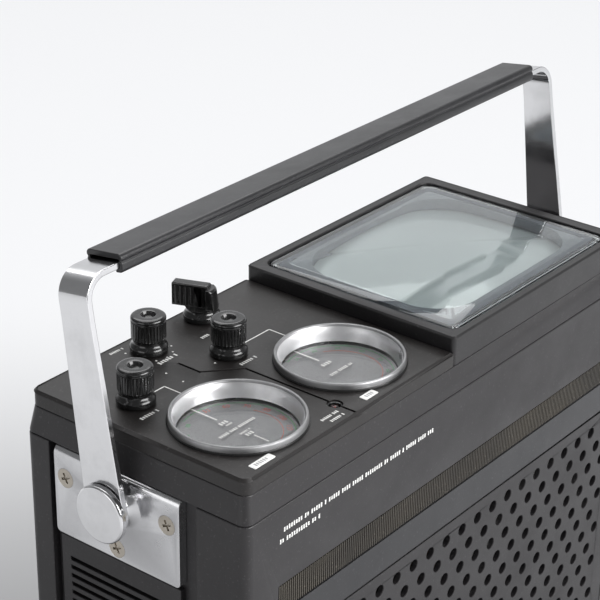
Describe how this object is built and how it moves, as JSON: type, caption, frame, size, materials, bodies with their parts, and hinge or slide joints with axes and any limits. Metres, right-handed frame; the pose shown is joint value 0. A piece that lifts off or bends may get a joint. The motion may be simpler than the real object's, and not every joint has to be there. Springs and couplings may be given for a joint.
{
  "type": "portable television",
  "caption": "Portable television with radio that stands on its rear face: screen, tuning dials and knobs on top, fold-over carrying handle, speaker grille and rod aerial.",
  "frame": {"origin": "on the plane of the rear feet, under the middle of the cabinet", "axes": "+Z out of the screen, up as the set stands; +X along the set from the controls to the screen; -Y towards the speaker side"},
  "size_m": [0.3094, 0.1116, 0.2905],
  "materials": {
    "cabinet_plastic": "satin dark grey moulding with a fine spark texture",
    "panel_plastic": "satin dark grey",
    "bezel_plastic": "satin dark grey",
    "shield_glass": "clear, polished",
    "tube_glass": "grey phosphor behind polished glass",
    "mask_plastic": "pale grey, matt",
    "clamp_steel": "plain",
    "screw_steel": "nickel plated",
    "yoke": "lacquered winding",
    "board": "laminated paper board",
    "chrome": "polished",
    "rim": "dark skirt with a bright inner rim",
    "window": "clear",
    "scale": "printed grey scale",
    "cord": "waxed cord",
    "knob": "black, fluted",
    "control": "plated",
    "lamp": "red lens",
    "label": "white",
    "chassis": "zinc plated",
    "tuner": "bright",
    "grip": "satin black-grey",
    "clip": "spring steel",
    "bush": "natural nylon",
    "trim": "dark ribbed trim",
    "speaker_steel": "plated",
    "paper": "black cone",
    "magnet": "ferrite",
    "core": "laminated core with its bobbin",
    "ferrite": "ferrite",
    "coil": "wound coil and plastic clips",
    "box_plastic": "black",
    "contact": "plated spring strip",
    "rubber": "black",
    "aerial": "chrome plated brass"
  },
  "bodies": {
    "cabinet": {"control_panel": "panel_plastic", "front_cabinet": "cabinet_plastic", "rear_cabinet": "cabinet_plastic", "screen_frame": "bezel_plastic", "implosion_shield": "shield_glass", "picture_tube": "tube_glass", "tube_mask": "mask_plastic", "tube_clamp": "clamp_steel", "tube_screws": "screw_steel", "deflection_yoke": "yoke", "socket_board": "board", "dial_rings": "rim", "dial_windows": "window", "drive_cords": "cord", "rotary_controls": "control", "tuning_lamp": "lamp", "label_plates": "label", "dial_chassis": "chassis", "tuning_capacitor": "tuner", "tv_tuner": "tuner", "plate_screws": "screw_steel", "pivot_plates": "chrome", "pivot_bushes": "bush", "vent_panels": "cabinet_plastic", "speaker_grille": "cabinet_plastic", "slat_strip": "trim", "plain_strip": "trim", "speaker_frame": "speaker_steel", "speaker_cone": "paper", "speaker_magnet": "magnet", "dc_inlet": "box_plastic", "main_board": "board", "radio_board": "board", "transformers": "core", "ferrite_rod": "ferrite", "ferrite_coil": "coil", "battery_box": "box_plastic", "case_screws": "screw_steel", "battery_contacts": "contact", "door_pins": "screw_steel", "mains_inlet": "box_plastic", "earphone_socket": "box_plastic", "feet": "rubber"},
    "handle": {"handle_strap": "chrome", "handle_grip": "grip", "pivot_pins": "chrome", "pivot_clips": "clip"},
    "radio_tuning_knob": {"radio_tuning_knob": "knob"},
    "tv_tuning_knob": {"tv_tuning_knob": "knob"},
    "volume_knob": {"volume_knob": "knob"},
    "selector_knob": {"selector_knob": "knob"},
    "radio_scale_disc": {"radio_scale_disc": "scale"},
    "tv_scale_disc": {"tv_scale_disc": "scale"},
    "battery_door": {"battery_door": "cabinet_plastic"},
    "aerial_swivel": {"aerial_swivel": "aerial", "aerial_elbow_pin": "screw_steel"},
    "aerial_root": {"aerial_root": "aerial"},
    "aerial_middle": {"aerial_middle": "aerial"},
    "aerial_tip": {"aerial_tip": "aerial"}
  },
  "joints": [
    {"name": "handle_swing", "type": "hinge", "parent": "cabinet", "child": "handle", "pos_m": [0, 0.0055, 0.196], "axis": [1, 0, 0], "range_deg": [-115, 125]},
    {"name": "radio_tuning", "type": "hinge", "parent": "cabinet", "child": "radio_tuning_knob", "pos_m": [-0.1235, 0.015, 0.226], "axis": [0, 0, 1], "range_deg": [-600, 600]},
    {"name": "radio_scale", "type": "hinge", "parent": "cabinet", "child": "radio_scale_disc", "pos_m": [-0.1093, -0.0221, 0.22], "axis": [0, 0, 1], "range_deg": [-90, 90]},
    {"name": "tv_tuning", "type": "hinge", "parent": "cabinet", "child": "tv_tuning_knob", "pos_m": [-0.0719, 0.0142, 0.226], "axis": [0, 0, 1], "range_deg": [-600, 600]},
    {"name": "tv_scale", "type": "hinge", "parent": "cabinet", "child": "tv_scale_disc", "pos_m": [-0.0485, -0.0221, 0.22], "axis": [0, 0, 1], "range_deg": [-90, 90]},
    {"name": "volume", "type": "hinge", "parent": "cabinet", "child": "volume_knob", "pos_m": [-0.0898, 0.0395, 0.226], "axis": [0, 0, -1], "range_deg": [0, 300]},
    {"name": "selector", "type": "hinge", "parent": "cabinet", "child": "selector_knob", "pos_m": [-0.0553, 0.0424, 0.226], "axis": [0, 0, -1], "range_deg": [0, 90]},
    {"name": "battery_door_hinge", "type": "hinge", "parent": "cabinet", "child": "battery_door", "pos_m": [0, 0.0543, 0.0142], "axis": [-1, 0, 0], "range_deg": [0, 90]},
    {"name": "aerial_swing", "type": "hinge", "parent": "cabinet", "child": "aerial_swivel", "pos_m": [0.1335, -0.045, 0.186], "axis": [0, -1, 0], "range_deg": [0, 100]},
    {"name": "aerial_tilt", "type": "hinge", "parent": "aerial_swivel", "child": "aerial_root", "pos_m": [0.1335, -0.0495, 0.186], "axis": [-1, 0, 0], "range_deg": [0, 90]},
    {"name": "aerial_extend", "type": "slide", "parent": "aerial_root", "child": "aerial_middle", "axis": [0, 0, -1], "range_m": [0, 0.12]},
    {"name": "aerial_tip_extend", "type": "slide", "parent": "aerial_middle", "child": "aerial_tip", "axis": [0, 0, -1], "range_m": [0, 0.12]}
  ],
  "couplings": [
    {"joint": "radio_scale", "follows": "radio_tuning", "ratio": 0.15},
    {"joint": "tv_scale", "follows": "tv_tuning", "ratio": 0.15}
  ]
}
